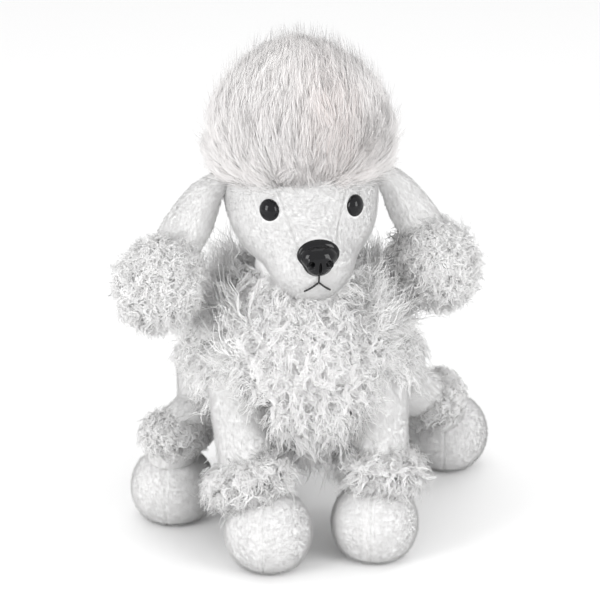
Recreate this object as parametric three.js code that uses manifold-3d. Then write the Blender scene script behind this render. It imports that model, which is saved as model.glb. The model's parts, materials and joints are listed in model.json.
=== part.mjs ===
// A white plush poodle that stands on four stuffed paws, as its separate sewn pieces.
// Units are millimetres. +Z is up, the dog faces -Y, and its own left side is +X.
// The origin is under the middle of the toy, on the floor it stands on.
import * as THREE from 'three';
import { mergeVertices } from 'three/addons/utils/BufferGeometryUtils.js';
import Module from 'manifold-3d';

const wasm = await Module();
wasm.setup();

// ---- Driving dimensions ----------------------------------------------------------------------

const CLOTH = 1.5;          // fabric thickness, backing and dense pile together
const GAP = 0.3;            // space between pieces that touch in the sewn toy
const SWING_GAP = 1.4;      // space round a limb that turns in its socket

const TORSO_HEIGHT = 88;    // middle of the torso above the floor
const TORSO_HALF_WIDTH = 50;
const TORSO_HALF_LENGTH = 50;
const TORSO_HALF_HEIGHT = 42;
const FRONT_HIPS = -18;     // along the body from its middle
const HIND_HIPS = 25;

const LEG_RADIUS = 13.5;
const PAW_RADIUS = 20.5;
const SOLE_FLAT = 2;        // how far each paw is pressed flat where it stands
const ANKLE_LIFT = 6.57;    // ankle above the seam where the leg meets the paw
const ANKLE_RISE = Math.sqrt(PAW_RADIUS ** 2 - LEG_RADIUS ** 2) + ANKLE_LIFT;
const CUFF_THICKNESS = 7.5; // of the curly ring round the leg
const CUFF_RADIUS = LEG_RADIUS + CUFF_THICKNESS;
const CUFF_HALF_HEIGHT = 10;
const LEG_SWING = 20;       // degrees, each way

const NECK_RADIUS = 18;
const NECK_BALL = 20;       // rounded top of the neck, which the head turns on
const NECK_RISE = 52;       // middle of that ball above the middle of the torso
const NECK_DEPTH = 26;      // how far the neck reaches down from the ball's middle

const HEAD_RISE = 28;       // middle of the head above the neck's ball
const HEAD_YAW = 10;        // degrees, towards the dog's own left
const SKULL_RADIUS = 36;
const SKULL_HALF_HEIGHT = 34;
const CHEEK_OUT = 13;       // middle of each cheek from the middle of the face
const CHEEK_RADII = [SKULL_RADIUS - 16.5, SKULL_RADIUS - 12, SKULL_HALF_HEIGHT - 12];
const MUZZLE_HALF_WIDTH = 22;
const MUZZLE_HALF_LENGTH = 22;
const MUZZLE_HALF_HEIGHT = 20;
const CROWN_SEAM = 13;      // height of the seam round the crown, above the head's middle
const TOPKNOT_RADIUS = 44;
const TOPKNOT_HALF_HEIGHT = 38;

const EYES_APART = 39;      // between the middles of the eyes
const EYE_HEIGHT = 5;       // above the head's middle
const EYE_RADIUS = 5;
const EYE_DOME = 4.3;       // height of the dome over the fabric
const EYE_SPLAY = 40;       // degrees, outwards from straight ahead
const NOSE_HEIGHT = -11;    // above the head's middle
const NOSE_HALF_WIDTH = 10;
const THREAD_RADIUS = 0.55;

const EAR_THICKNESS = 3.6;
const EAR_WIDTH = 27;
const EAR_ROOT_WIDTH = 12;
const EAR_LENGTH = 34;
const EAR_SPREAD = 28;      // degrees, the flap's outer face lifted from hanging straight down
const EAR_LEAN = 21;        // degrees, the flap swept back and outwards in its own plane
const EAR_TWIST = 55;       // degrees, the flap's outer face turned to the front
const EAR_STAND_OFF = 4.2;  // the flap's middle out from the side of the head
const EAR_POM_RADIUS = 22;
const EAR_POM_HALF_HEIGHT = 26;

const TAIL_RADIUS = 7;
const TAIL_LENGTH = 22;
const TAIL_POM_RADIUS = 13;
const TAIL_LEAN = 35;       // degrees, backwards from straight up

const EYE_STEM = 1.6;
const STEM_LENGTH = 9;
const WASHER_RADIUS = 5;
const WASHER_THICKNESS = 1.2;
const WASHER_DEPTH = 3.3;       // behind the fabric, where the surface is curved

const PELLET_BAG = [24, 20, 12];   // half sizes

// ---- Colours ---------------------------------------------------------------------------------

const plush = (color, roughness = 0.95) =>
  new THREE.MeshStandardMaterial({ color, roughness, metalness: 0 });
const SHORT_PILE = plush(0xf4f3f2);
const CURLY_PILE = plush(0xf6f5f4);
const LONG_PILE = plush(0xf7f3f2);
const FILLING = plush(0xfbfbfb);
const LINING = plush(0xe9e6de);
const BLACK_GLOSS = plush(0x0c0c0d, 0.08);
const BLACK_THREAD = plush(0x121212, 0.7);
const WASHER_PLASTIC = plush(0xe4e4e0, 0.5);

// ---- Places ----------------------------------------------------------------------------------

const at = (x, y, z) => new THREE.Vector3(x, y, z);
const torso = at(0, 0, TORSO_HEIGHT);
const pawHeight = PAW_RADIUS - SOLE_FLAT;
const neckBall = torso.clone().add(at(2, -12, NECK_RISE));
const headMiddle = neckBall.clone().add(at(-1, -2, HEAD_RISE));
const tailRoot = torso.clone().add(at(0, TORSO_HALF_LENGTH + 12, 6));

// Each leg: its hip from the middle of the torso, its paw on the floor from under its hip,
// its ankle from above the paw, and how its knee bends away from the straight line.
const LEGS = [
  {
    name: 'front_right',
    hip: at(17 - TORSO_HALF_WIDTH, FRONT_HIPS, 4),
    paw: [18, -40],
    ankle: [-8, 6],
    bend: at(-3, 0, 0),
  },
  {
    name: 'front_left',
    hip: at(TORSO_HALF_WIDTH - 12, FRONT_HIPS, 4),
    paw: [-2, -28],
    ankle: [2, 5],
    bend: at(1, -2, 0),
  },
  {
    name: 'hind_right',
    hip: at(2 - TORSO_HALF_WIDTH, HIND_HIPS, -14),
    paw: [-15, -28],
    ankle: [1, -2],
    bend: at(-3, -3, 1),
  },
  {
    name: 'hind_left',
    hip: at(TORSO_HALF_WIDTH - 2, HIND_HIPS + 5, -14),
    paw: [29, 29],
    ankle: [-7, -13],
    bend: at(3, -2, 2),
  },
];

for (const leg of LEGS) {
  leg.hipPoint = torso.clone().add(leg.hip);
  leg.pawPoint = at(leg.hipPoint.x + leg.paw[0], leg.hipPoint.y + leg.paw[1], pawHeight);
  leg.anklePoint = leg.pawPoint.clone().add(at(leg.ankle[0], leg.ankle[1], ANKLE_RISE));
  leg.kneePoint = leg.hipPoint.clone().lerp(leg.anklePoint, 0.5).add(leg.bend);
}

// ---- Solids ----------------------------------------------------------------------------------

// A closed three.js geometry as a solid that can be joined and cut.
function solid(geometry) {
  const bare = geometry.clone();
  bare.deleteAttribute('normal');
  bare.deleteAttribute('uv');
  const merged = mergeVertices(bare, 1e-4);
  return new wasm.Manifold(new wasm.Mesh({
    numProp: 3,
    vertProperties: new Float32Array(merged.attributes.position.array),
    triVerts: new Uint32Array(merged.index.array),
  }));
}

function geometryOf(body) {
  const mesh = body.getMesh();
  const geometry = new THREE.BufferGeometry();
  geometry.setAttribute('position', new THREE.BufferAttribute(mesh.vertProperties, 3));
  geometry.setIndex(new THREE.BufferAttribute(mesh.triVerts, 1));
  geometry.computeVertexNormals();
  return geometry;
}

const join = (...bodies) => bodies.reduce((whole, next) => whole.add(next));
const cut = (body, ...tools) => tools.reduce((left, tool) => left.subtract(tool), body);

// An ellipsoid with its poles up and down.
function ovoid(middle, radii, sides = 12, rings = 6) {
  const geometry = new THREE.SphereGeometry(1, sides, rings);
  geometry.rotateX(Math.PI / 2);
  geometry.scale(...radii);
  geometry.translate(middle.x, middle.y, middle.z);
  return solid(geometry);
}

const ball = (middle, radius, sides, rings) => ovoid(middle, [radius, radius, radius], sides, rings);

// An ellipsoid whose own upright axis points along a direction.
function turnedOvoid(middle, radii, direction, sides = 10, rings = 5) {
  const geometry = new THREE.SphereGeometry(1, sides, rings);
  geometry.rotateX(Math.PI / 2);
  geometry.scale(...radii);
  const turn = new THREE.Quaternion().setFromUnitVectors(at(0, 0, 1), direction);
  geometry.applyQuaternion(turn);
  geometry.translate(middle.x, middle.y, middle.z);
  return solid(geometry);
}

// A round bar from one point to another.
function bar(start, end, radius, sides = 8) {
  const along = end.clone().sub(start);
  const geometry = new THREE.CylinderGeometry(radius, radius, along.length(), sides);
  geometry.rotateX(Math.PI / 2);
  geometry.applyQuaternion(
    new THREE.Quaternion().setFromUnitVectors(at(0, 0, 1), along.clone().normalize()),
  );
  const middle = start.clone().add(end).multiplyScalar(0.5);
  geometry.translate(middle.x, middle.y, middle.z);
  return solid(geometry);
}

// A round hole for something of a radius: its flats lie no closer than that radius.
function room(start, end, radius, sides = 8) {
  return bar(start, end, radius / Math.cos(Math.PI / sides), sides);
}

// A tube of round section along a smooth curve through some points.
function tube(points, radius, sides = 8, steps = 3) {
  const circle = new THREE.Shape();
  circle.absarc(0, 0, radius, 0, 2 * Math.PI);
  return solid(new THREE.ExtrudeGeometry(circle, {
    curveSegments: sides / 2,
    steps,
    bevelEnabled: false,
    extrudePath: new THREE.CatmullRomCurve3(points),
  }));
}

function block(low, high) {
  const size = high.clone().sub(low);
  const geometry = new THREE.BoxGeometry(size.x, size.y, size.z);
  const middle = low.clone().add(high).multiplyScalar(0.5);
  geometry.translate(middle.x, middle.y, middle.z);
  return solid(geometry);
}

// A body of revolution about +Z, from [radius, height] points.
function turned(points, sides = 10) {
  const profile = points.map(([radius, height]) => new THREE.Vector2(radius, height));
  const geometry = new THREE.LatheGeometry(profile, sides);
  geometry.rotateX(Math.PI / 2);
  return solid(geometry);
}

function placed(body, origin, direction) {
  const turn = new THREE.Quaternion().setFromUnitVectors(at(0, 0, 1), direction);
  const matrix = new THREE.Matrix4().compose(origin, turn, at(1, 1, 1));
  return body.transform(matrix.toArray());
}

function sewn(name, body, material) {
  const mesh = new THREE.Mesh(geometryOf(body), material);
  mesh.name = name;
  return mesh;
}

function groupOf(meshes, position = at(0, 0, 0)) {
  const group = new THREE.Group();
  group.add(...meshes);
  group.position.copy(position);
  return group;
}

// ---- Legs ------------------------------------------------------------------------------------

// The leg's line from its hip down to the middle of its paw, with the hip at the origin.
function legLine(leg) {
  return [leg.hipPoint, leg.kneePoint, leg.anklePoint, leg.pawPoint]
    .map((point) => point.clone().sub(leg.hipPoint));
}

// The leg's limb, shrunk or grown by an inset, rounded at the hip.
function limb(line, inset) {
  const radius = LEG_RADIUS - inset;
  return join(tube(line, radius), ball(line[0], radius, 8, 6));
}

// The space that a leg passes through as it swings about its hip: a fan across the leg's plane.
function legSweep(leg, spare) {
  const down = legLine(leg)[2];
  const reach = Math.hypot(down.y, down.z);
  const rest = Math.atan2(down.z, down.y);
  const swing = THREE.MathUtils.degToRad(LEG_SWING);
  const drift = Math.abs(down.x) * (1 - Math.cos(swing));
  const radius = LEG_RADIUS + SWING_GAP + spare;
  const corner = radius / Math.cos(swing / 2);
  const spot = (angle, distance, turn, offset) => new THREE.Vector2(
    distance * Math.cos(rest + angle) + offset * Math.cos(rest + angle + turn),
    distance * Math.sin(rest + angle) + offset * Math.sin(rest + angle + turn),
  );
  const right = Math.PI / 2;
  const fan = new THREE.Shape([
    spot(-swing, 0, -right, radius),
    spot(-swing, reach, -right, radius),
    spot(-swing, reach, 0, radius),
    spot(0, reach, 0, corner),
    spot(swing, reach, 0, radius),
    spot(swing, reach, right, radius),
    spot(swing, 0, right, radius),
    spot(swing, 0, right * 1.5, corner),
    spot(0, 0, 2 * right, corner),
    spot(-swing, 0, -right * 1.5, corner),
  ]);
  const halfWidth = radius + drift;
  const slab = new THREE.ExtrudeGeometry(fan, { depth: 2 * halfWidth, bevelEnabled: false });
  slab.applyMatrix4(new THREE.Matrix4().makeBasis(at(0, 1, 0), at(0, 0, 1), at(1, 0, 0)));
  slab.translate(-halfWidth, 0, 0);
  const lean = at(0, down.y, down.z).multiplyScalar(down.x / reach ** 2);
  slab.applyMatrix4(new THREE.Matrix4().set(
    1, lean.y, lean.z, leg.hipPoint.x,
    0, 1, 0, leg.hipPoint.y,
    0, 0, 1, leg.hipPoint.z,
    0, 0, 0, 1,
  ));
  return solid(slab);
}

function makeLeg(leg) {
  const line = legLine(leg);
  const paw = line[3];
  const ankle = line[2];
  const upwards = ankle.clone().sub(paw).normalize();
  const floor = -leg.hipPoint.z;
  const under = block(at(-200, -200, floor - 100), at(200, 200, floor));
  const lining = block(at(-200, -200, floor - 100), at(200, 200, floor + CLOTH));
  const filling = block(at(-200, -200, floor - 100), at(200, 200, floor + CLOTH + GAP));
  const overPaw = paw.clone().addScaledVector(upwards, 2 * PAW_RADIUS);
  const neck = bar(paw, overPaw, LEG_RADIUS - CLOTH - GAP);

  const pawOutside = ball(paw, PAW_RADIUS);
  const pawInside = cut(ball(paw, PAW_RADIUS - CLOTH), lining);
  const pawCore = cut(ball(paw, PAW_RADIUS - CLOTH - GAP), filling);
  const pawRoom = ball(paw, PAW_RADIUS + 2 * GAP);

  const cover = cut(limb(line, 0), limb(line, CLOTH), pawRoom);
  const stuffing = cut(limb(line, CLOTH + GAP), pawRoom);
  const cuff = cut(
    turnedOvoid(ankle, [CUFF_RADIUS, CUFF_RADIUS, CUFF_HALF_HEIGHT], upwards),
    tube(line, LEG_RADIUS + GAP),
    pawRoom,
  );
  return groupOf([
    sewn(`${leg.name}_leg_cover`, cover, SHORT_PILE),
    sewn(`${leg.name}_leg_stuffing`, stuffing, FILLING),
    sewn(`${leg.name}_cuff`, cuff, CURLY_PILE),
    sewn(`${leg.name}_paw_cover`, cut(pawOutside, under, pawInside, neck), SHORT_PILE),
    sewn(`${leg.name}_paw_filling`, pawCore, FILLING),
  ], leg.hipPoint);
}

// ---- Torso and neck --------------------------------------------------------------------------

// Belly, chest and rump, all shrunk by an inset.
function torsoShape(inset) {
  const halves = [TORSO_HALF_WIDTH, TORSO_HALF_LENGTH, TORSO_HALF_HEIGHT];
  const lobe = (offset, trims) => ovoid(
    torso.clone().add(offset),
    halves.map((half, i) => half - trims[i] - inset),
    14,
    7,
  );
  return join(
    lobe(at(0, 0, 0), [0, 0, 0]),
    lobe(at(2, 28 - TORSO_HALF_LENGTH, 4), [10, 18, 6]),
    lobe(at(2, TORSO_HALF_LENGTH - 16, -18), [6, 12, 6]),
  );
}

// Everything that turns against the torso, with room to turn.
function turningRoom(spare) {
  const recess = room(
    neckBall.clone().add(at(0, 0, -NECK_DEPTH - 1 - spare)),
    neckBall.clone().add(at(0, 0, NECK_DEPTH)),
    NECK_RADIUS + SWING_GAP + spare,
    12,
  );
  const tailSocket = ball(tailRoot, TAIL_RADIUS + 3 + SWING_GAP + spare, 10, 6);
  return join(recess, tailSocket, ...LEGS.map((leg) => legSweep(leg, spare)));
}

function makeTorso() {
  const opening = bar(torso, neckBall, NECK_RADIUS / 2);
  const outside = cut(torsoShape(0), turningRoom(0));
  const inside = cut(torsoShape(CLOTH), turningRoom(CLOTH));
  const core = cut(torsoShape(CLOTH + GAP), turningRoom(CLOTH + GAP));
  const bagPlace = torso.clone().add(at(0, TORSO_HALF_LENGTH - 24, -18 - TORSO_HALF_HEIGHT + 14));
  const bag = ovoid(bagPlace, PELLET_BAG);
  const bagRoom = ovoid(bagPlace, PELLET_BAG.map((half) => half + 2 * GAP));
  return groupOf([
    sewn('torso_cover', cut(outside, inside, opening), CURLY_PILE),
    sewn('torso_stuffing', cut(core, bagRoom), FILLING),
    sewn('pellet_bag', bag.intersect(core), LINING),
  ]);
}

function makeNeck() {
  const shoulder = Math.sqrt(NECK_BALL ** 2 - NECK_RADIUS ** 2);
  const profile = (inset, bottom, hole) => {
    const radius = NECK_BALL - inset;
    const steps = 4;
    const first = Math.atan2(shoulder, NECK_RADIUS);
    const last = Math.acos(hole / radius);
    const points = [[hole, bottom], [NECK_RADIUS - inset, bottom]];
    for (let i = 0; i <= steps; i += 1) {
      const angle = first + ((last - first) * i) / steps;
      points.push([radius * Math.cos(angle), radius * Math.sin(angle)]);
    }
    return [...points, [hole, bottom]];
  };
  const sleeve = cut(
    turned(profile(0, -NECK_DEPTH, NECK_RADIUS / 3)),
    turned(profile(CLOTH, -NECK_DEPTH - 1, 0)),
  );
  const core = turned(profile(CLOTH + GAP, -NECK_DEPTH, 0));
  return groupOf([
    sewn('neck_sleeve', sleeve, SHORT_PILE),
    sewn('neck_stuffing', core, FILLING),
  ], neckBall);
}

// ---- Head ------------------------------------------------------------------------------------

const skullMiddle = at(0, 4, 6);
const muzzleMiddle = at(0, 4 + 10 - SKULL_RADIUS, -16);
const neckInHead = neckBall.clone().sub(headMiddle)
  .applyAxisAngle(at(0, 0, 1), -THREE.MathUtils.degToRad(HEAD_YAW));

function skull(inset) {
  const radius = SKULL_RADIUS - inset;
  return ovoid(skullMiddle, [radius, radius, SKULL_HALF_HEIGHT - inset], 12, 8);
}

// The rounded lobes that the head is blown up into when it is stuffed.
const cheekLobe = (side) => ({ middle: at(side * CHEEK_OUT, -6, -4), radii: CHEEK_RADII });
const muzzleLobe = {
  middle: muzzleMiddle,
  radii: [MUZZLE_HALF_WIDTH, MUZZLE_HALF_LENGTH, MUZZLE_HALF_HEIGHT],
};
const skullLobe = { middle: skullMiddle, radii: [SKULL_RADIUS, SKULL_RADIUS, SKULL_HALF_HEIGHT] };

// All of them as one solid, shrunk by an inset.
function headShape(inset) {
  const lobe = ({ middle, radii }, around, over) =>
    ovoid(middle, radii.map((radius) => radius - inset), around, over);
  return join(
    skull(inset),
    lobe(cheekLobe(-1), 10, 6),
    lobe(cheekLobe(1), 10, 6),
    lobe(muzzleLobe, 12, 8),
  );
}

// How far forward the face stands at a place across and up, in the head's frame.
function faceFront(x, z) {
  const fronts = [skullLobe, cheekLobe(-1), cheekLobe(1), muzzleLobe].map(({ middle, radii }) => {
    const across = (x - middle.x) / radii[0];
    const up = (z - middle.z) / radii[2];
    const share = 1 - across ** 2 - up ** 2;
    return share > 0 ? middle.y - radii[1] * Math.sqrt(share) : Infinity;
  });
  return Math.min(...fronts);
}

// The places where the eyes and the nose go through the fabric, with their outward directions.
const eyeSeat = (side) => {
  const splay = THREE.MathUtils.degToRad(EYE_SPLAY);
  const x = side * EYES_APART / 2;
  return {
    place: at(x, faceFront(x, EYE_HEIGHT), EYE_HEIGHT),
    outward: at(side * Math.sin(splay), -Math.cos(splay), 0),
  };
};
const noseSeat = {
  place: at(0, faceFront(0, NOSE_HEIGHT), NOSE_HEIGHT),
  outward: at(0, -0.97, 0.24).normalize(),
};
const SEATS = [eyeSeat(-1), eyeSeat(1), noseSeat];

const stemHole = (seat) => room(
  seat.place.clone().addScaledVector(seat.outward, -STEM_LENGTH - 1),
  seat.place.clone().addScaledVector(seat.outward, 6),
  EYE_STEM + GAP,
);
const washerDepth = CLOTH + WASHER_DEPTH;
const washerRoom = (seat) => room(
  seat.place.clone().addScaledVector(seat.outward, -washerDepth - WASHER_THICKNESS - 2 * GAP),
  seat.place.clone().addScaledVector(seat.outward, 3),
  WASHER_RADIUS + GAP,
);

// A washer that locks an eye or the nose from inside the head.
function washer(seat) {
  const top = -washerDepth;
  const bottom = top - WASHER_THICKNESS;
  const hole = EYE_STEM + GAP;
  const ring = turned([
    [hole, bottom], [WASHER_RADIUS, bottom], [WASHER_RADIUS, top], [hole, top], [hole, bottom],
  ]);
  return placed(ring, seat.place, seat.outward);
}

// The stem that holds an eye or the nose through the fabric.
const stem = (seat) => bar(
  seat.place.clone().addScaledVector(seat.outward, -STEM_LENGTH),
  seat.place.clone().addScaledVector(seat.outward, 2),
  EYE_STEM,
);

// A domed safety eye on its stem, its back shaped to the face.
function eye(seat) {
  const points = [[0, -EYE_RADIUS], [EYE_RADIUS, -EYE_RADIUS], [EYE_RADIUS, 0]];
  const steps = 5;
  for (let i = 1; i <= steps; i += 1) {
    const angle = (Math.PI / 2) * (i / steps);
    points.push([EYE_RADIUS * Math.cos(angle), EYE_DOME * Math.sin(angle)]);
  }
  points[points.length - 1][0] = 0;
  const dome = cut(placed(turned(points), seat.place, seat.outward), headShape(-GAP));
  return join(dome, stem(seat));
}

// The moulded nose: a rounded triangle in front of the muzzle, on its stem.
function nose() {
  const front = ovoid(
    noseSeat.place.clone().add(at(0, 2, 0)),
    [NOSE_HALF_WIDTH, NOSE_HALF_WIDTH * 0.75, NOSE_HALF_WIDTH * 0.78],
  );
  const nostril = (side) => ball(noseSeat.place.clone().add(at(side * 4, -6, -1)), 2, 6, 4);
  const cap = cut(front, headShape(-0.9), nostril(-1), nostril(1));
  return join(cap, stem(noseSeat));
}

// The mouth: one short stitch down from the nose and two that part below it.
function mouth() {
  const lift = THREAD_RADIUS + GAP + 0.5;
  const stitch = (points) => tube(
    points.map(([x, z]) => at(x, faceFront(x, z) - lift, z)),
    THREAD_RADIUS,
    6,
    3,
  );
  return join(
    stitch([[0, -20.6], [0, -23], [0, -25.4]]),
    stitch([[-7.4, -29], [-3.6, -27.4], [0, -25]]),
    stitch([[7.4, -29], [3.6, -27.4], [0, -25]]),
  );
}

// The plan of the centre strip, from the nose over the forehead, drawn smaller by an inset.
function gussetPlan(inset) {
  const plan = new THREE.Shape();
  const half = [[7, -80], [7, -42], [14, -24], [14, 0]];
  half.forEach(([x, y], i) => (i ? plan.lineTo(x - inset, y) : plan.moveTo(x - inset, y)));
  [...half].reverse().forEach(([x, y]) => plan.lineTo(inset - x, y));
  const geometry = new THREE.ExtrudeGeometry(plan, { depth: 160, bevelEnabled: false });
  geometry.translate(0, 0, -80);
  return solid(geometry);
}

function makeHead() {
  const far = 90;
  const shell = cut(headShape(0), headShape(CLOTH));
  const crownCut = block(at(-far, -far, CROWN_SEAM - GAP), at(far, far, far));
  const chinLevel = muzzleMiddle.z - 11;
  const backLine = 16;
  const ballRoom = (NECK_BALL + SWING_GAP) / Math.cos(Math.PI / 12);
  const neckRoom = join(
    ball(neckInHead, ballRoom, 16, 10),
    room(neckInHead, neckInHead.clone().add(at(0, 0, -far)), NECK_BALL + SWING_GAP, 12),
  );
  const holes = SEATS.map(stemHole);
  const face = cut(shell, crownCut, neckRoom, ...holes);

  const belowChin = block(at(-far, -far, -far), at(far, backLine, chinLevel));
  const behind = block(at(-far, backLine, -far), at(far, far, far));
  const front = cut(
    face,
    block(at(-far, -far, -far), at(far, far, chinLevel + GAP)),
    block(at(-far, backLine - GAP, -far), at(far, far, far)),
  );
  const side = (sign) => block(
    at(sign > 0 ? GAP / 2 : -far, -far, -far),
    at(sign > 0 ? far : -GAP / 2, far, far),
  );
  const gusset = front.intersect(gussetPlan(0));
  const sides = cut(front, gussetPlan(-GAP));
  const chin = face.intersect(belowChin);
  const back = face.intersect(behind);

  const core = cut(headShape(CLOTH + GAP), neckRoom, ...holes, ...SEATS.map(washerRoom));
  const crown = cut(skull(0), skull(CLOTH), block(at(-far, -far, -far), at(far, far, CROWN_SEAM)));
  const topknotMiddle = at(0, 4, CROWN_SEAM + 23);
  const topknot = cut(
    ovoid(topknotMiddle, [TOPKNOT_RADIUS, TOPKNOT_RADIUS, TOPKNOT_HALF_HEIGHT], 14, 10),
    skull(-GAP - 0.2),
    block(at(-far, -far, -far), at(far, far, CROWN_SEAM)),
  );
  const group = groupOf([
    sewn('face_gusset', gusset, SHORT_PILE),
    sewn('cheek_left', sides.intersect(side(1)), SHORT_PILE),
    sewn('cheek_right', sides.intersect(side(-1)), SHORT_PILE),
    sewn('chin_panel', chin, SHORT_PILE),
    sewn('head_back_panel', back, SHORT_PILE),
    sewn('head_stuffing', core, FILLING),
    sewn('crown_panel', crown, SHORT_PILE),
    sewn('topknot', topknot, LONG_PILE),
    sewn('eye_right', eye(SEATS[0]), BLACK_GLOSS),
    sewn('eye_left', eye(SEATS[1]), BLACK_GLOSS),
    sewn('nose', nose(), BLACK_GLOSS),
    sewn('eye_washer_right', washer(SEATS[0]), WASHER_PLASTIC),
    sewn('eye_washer_left', washer(SEATS[1]), WASHER_PLASTIC),
    sewn('nose_washer', washer(SEATS[2]), WASHER_PLASTIC),
    sewn('mouth_stitching', mouth(), BLACK_THREAD),
  ], headMiddle);
  group.rotation.z = THREE.MathUtils.degToRad(HEAD_YAW);
  group.add(makeEar('right', -1), makeEar('left', 1));
  return group;
}

// ---- Ears ------------------------------------------------------------------------------------

const earRoot = (side) => at(
  side * (SKULL_RADIUS + EAR_THICKNESS / 2 + EAR_STAND_OFF),
  3,
  CROWN_SEAM - EAR_THICKNESS / 2 - 3,
);

// One ear, hanging from its root at the origin: two fabric layers and a curly tuft on the end.
function makeEar(name, side) {
  const pomMiddle = at(0, 0, -EAR_LENGTH - EAR_POM_HALF_HEIGHT + 9);
  const pom = (inset) => ovoid(
    pomMiddle,
    [EAR_POM_RADIUS - inset, EAR_POM_RADIUS - inset, EAR_POM_HALF_HEIGHT - inset],
  );
  const outline = new THREE.Shape();
  outline.moveTo(-EAR_ROOT_WIDTH / 2, 0);
  outline.lineTo(EAR_ROOT_WIDTH / 2, 0);
  outline.lineTo(EAR_WIDTH / 2, -EAR_LENGTH * 0.6);
  outline.lineTo(EAR_WIDTH / 2 - 3, -EAR_LENGTH);
  outline.lineTo(3 - EAR_WIDTH / 2, -EAR_LENGTH);
  outline.lineTo(-EAR_WIDTH / 2, -EAR_LENGTH * 0.6);
  const layerDepth = (EAR_THICKNESS - GAP) / 2;
  const layer = (start) => {
    const flap = new THREE.ExtrudeGeometry(outline, { depth: layerDepth, bevelEnabled: false });
    flap.applyMatrix4(new THREE.Matrix4().makeBasis(at(0, 1, 0), at(0, 0, 1), at(1, 0, 0)));
    flap.translate(start, 0, 0);
    return cut(solid(flap), pom(-GAP));
  };
  const mouthOfPom = bar(at(0, 0, 0), pomMiddle, EAR_WIDTH / 4);
  const group = groupOf([
    sewn(`ear_${name}_${side > 0 ? 'outer' : 'inner'}`, layer(GAP / 2), SHORT_PILE),
    sewn(`ear_${name}_${side > 0 ? 'inner' : 'outer'}`, layer(-GAP / 2 - layerDepth), SHORT_PILE),
    sewn(`ear_${name}_pom`, cut(pom(0), pom(CLOTH), mouthOfPom), CURLY_PILE),
    sewn(`ear_${name}_pom_stuffing`, pom(CLOTH + GAP), FILLING),
  ]);
  group.rotation.set(
    THREE.MathUtils.degToRad(EAR_LEAN),
    -side * THREE.MathUtils.degToRad(EAR_SPREAD),
    0,
  );
  const twisted = groupOf([group], earRoot(side));
  twisted.rotation.z = -side * THREE.MathUtils.degToRad(EAR_TWIST);
  return twisted;
}

// ---- Tail ------------------------------------------------------------------------------------

function makeTail() {
  const lean = THREE.MathUtils.degToRad(TAIL_LEAN);
  const upwards = at(0, Math.sin(lean), Math.cos(lean));
  const tip = upwards.clone().multiplyScalar(TAIL_LENGTH);
  const pomMiddle = upwards.clone().multiplyScalar(TAIL_LENGTH + TAIL_POM_RADIUS - 4);
  const shaft = (inset) => join(
    ball(at(0, 0, 0), TAIL_RADIUS + 3 - inset, 10, 6),
    bar(at(0, 0, 0), tip, TAIL_RADIUS - inset),
  );
  const pom = (inset) => ball(pomMiddle, TAIL_POM_RADIUS - inset);
  const pomRoom = pom(-GAP);
  const mouthOfPom = bar(at(0, 0, 0), pomMiddle, TAIL_RADIUS - CLOTH);
  const inside = join(shaft(CLOTH), mouthOfPom);
  return groupOf([
    sewn('tail_cover', cut(shaft(0), inside, pomRoom), SHORT_PILE),
    sewn('tail_stuffing', cut(shaft(CLOTH + GAP), pomRoom), FILLING),
    sewn('tail_pom', cut(pom(0), pom(CLOTH), mouthOfPom), CURLY_PILE),
    sewn('tail_pom_stuffing', pom(CLOTH + GAP), FILLING),
  ], tailRoot);
}

// ---- The whole dog ---------------------------------------------------------------------------

const dog = new THREE.Group();
const standing = groupOf([makeTorso(), makeNeck(), makeHead(), makeTail(), ...LEGS.map(makeLeg)]);
dog.add(standing);
dog.updateMatrixWorld(true);
const bounds = new THREE.Box3().setFromObject(dog, true);
standing.position.set(-(bounds.min.x + bounds.max.x) / 2, -(bounds.min.y + bounds.max.y) / 2, 0);
dog.updateMatrixWorld(true);

// Where each part turns, in the finished frame.
const inFrame = (point) => standing.localToWorld(point.clone()).toArray();
const headMatrix = new THREE.Matrix4().makeRotationZ(THREE.MathUtils.degToRad(HEAD_YAW))
  .setPosition(headMiddle);
dog.userData.pivots = {
  neck_turn: inFrame(neckBall),
  head_nod: inFrame(neckBall),
  tail_swing: inFrame(tailRoot),
  ear_left_swing: inFrame(earRoot(1).applyMatrix4(headMatrix)),
  ear_right_swing: inFrame(earRoot(-1).applyMatrix4(headMatrix)),
  ...Object.fromEntries(LEGS.map((leg) => [`${leg.name}_leg_swing`, inFrame(leg.hipPoint)])),
};

const earAxis = (side) => at(0, 1, 0)
  .applyAxisAngle(at(1, 0, 0), THREE.MathUtils.degToRad(EAR_LEAN))
  .applyAxisAngle(at(0, 0, 1), THREE.MathUtils.degToRad(HEAD_YAW - side * EAR_TWIST)).toArray();
dog.userData.axes = { ear_left_swing: earAxis(1), ear_right_swing: earAxis(-1) };

export default dog;
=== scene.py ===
"""A white toy poodle with curly, long and short pile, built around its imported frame."""
import json
import math

import bmesh
import bpy
import numpy as np
from mathutils import Matrix, Vector


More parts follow.
